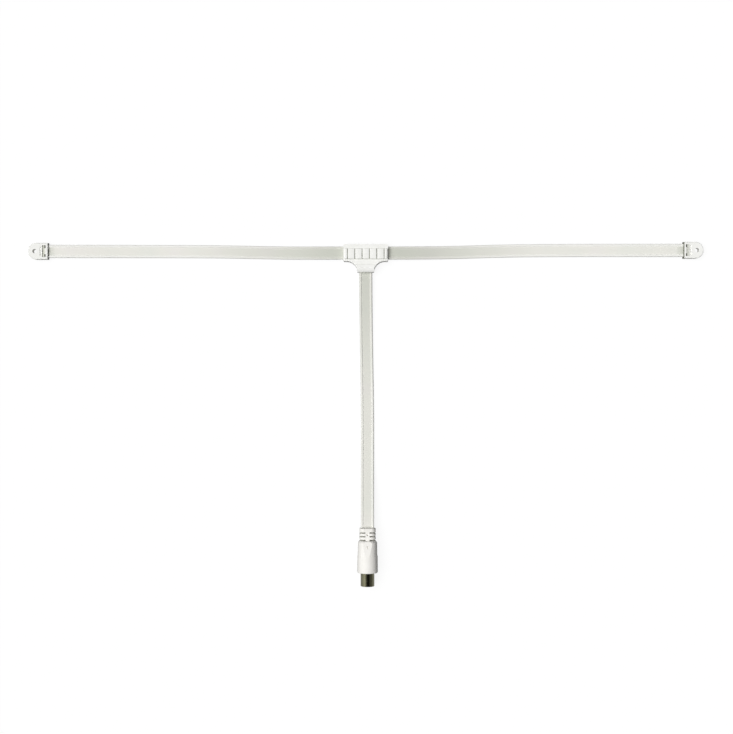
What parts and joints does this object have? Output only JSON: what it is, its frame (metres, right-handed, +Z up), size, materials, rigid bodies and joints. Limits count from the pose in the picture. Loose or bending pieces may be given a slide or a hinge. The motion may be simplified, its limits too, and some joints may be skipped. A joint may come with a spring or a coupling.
{
  "type": "fm indoor antenna",
  "caption": "T-shaped indoor radio aerial of flat two-wire ribbon, with a ribbed tee, end pieces with pin holes and a lead to a coaxial plug.",
  "frame": {"origin": "under the middle of the tee's bar, on the surface that the aerial lies on", "axes": "+X along the right arm, +Y from the plug towards the tee, +Z up out of the tee's front cover"},
  "size_m": [0.4678, 0.2378, 0.0142],
  "materials": {
    "white_moulding": "moulded satin white",
    "ribbon_jacket": "extruded, milky white",
    "copper_wire": "bare drawn copper",
    "solder": "dull solder",
    "plug_moulding": "moulded soft white",
    "plated_sleeve": "nickel plated",
    "plated_pin": "nickel plated",
    "plug_insulator": "moulded natural white"
  },
  "bodies": {
    "root": {"tee_front_cover": "white_moulding", "tee_back_cover": "white_moulding", "left_end_piece": "white_moulding", "right_end_piece": "white_moulding", "dipole_ribbon": "ribbon_jacket", "lead_ribbon": "ribbon_jacket", "dipole_upper_wire": "copper_wire", "dipole_lower_left_wire": "copper_wire", "dipole_lower_right_wire": "copper_wire", "lead_left_wire": "copper_wire", "lead_right_wire": "copper_wire", "left_end_solder": "solder", "right_end_solder": "solder", "left_feed_solder": "solder", "right_feed_solder": "solder", "pin_solder": "solder", "sleeve_solder": "solder", "plug_body": "plug_moulding", "plug_sleeve": "plated_sleeve", "plug_pin": "plated_pin", "plug_insulator": "plug_insulator"}
  },
  "joints": []
}
